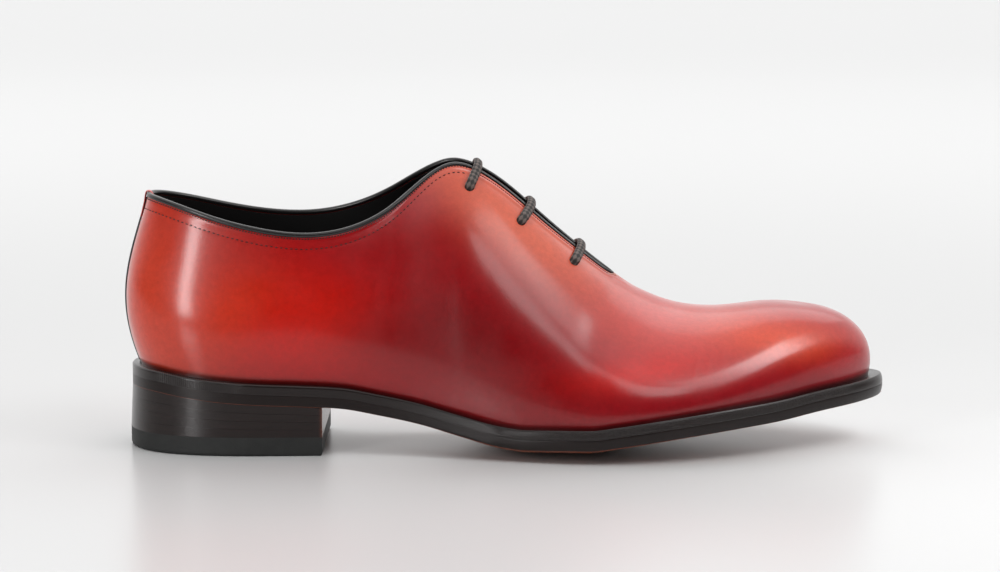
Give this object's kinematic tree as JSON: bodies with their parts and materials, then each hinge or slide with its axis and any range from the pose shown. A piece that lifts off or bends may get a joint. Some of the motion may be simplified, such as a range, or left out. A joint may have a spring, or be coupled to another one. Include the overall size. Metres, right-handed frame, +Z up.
{
  "type": "whole cut oxford shoe",
  "caption": "Whole cut oxford shoe for the right foot, slim almond toe, narrow laced slit, leather sole and stacked block heel.",
  "frame": {"origin": "on the floor, under the middle of the shoe's own box", "axes": "+X towards the toe, +Y towards the medial side, +Z up from the floor"},
  "size_m": [0.31, 0.1074, 0.1169],
  "materials": {
    "patinated_calf": "glossy hand patinated calf, red over orange",
    "black_calf": "smooth black calf, soft gloss",
    "sole_leather": "red brown oak bark sole leather, waxed",
    "blacked_edge": "blacked and waxed leather edge",
    "heel_stack": "dark burnished stacked leather",
    "heel_rubber": "matte black rubber",
    "insole_leather": "black sock leather, matte",
    "waxed_cotton": "waxed dark grey brown cotton cord"
  },
  "bodies": {
    "root": {"outsole": "sole_leather", "welt": "blacked_edge", "insole": "insole_leather", "heel_lift_1": "heel_stack", "heel_lift_2": "heel_stack", "heel_lift_3": "heel_stack", "heel_lift_4": "heel_stack", "top_lift": "heel_rubber", "upper": "patinated_calf", "topline_piping": "black_calf", "back_seam": "black_calf", "tongue": "black_calf", "lace": "waxed_cotton"}
  },
  "joints": []
}
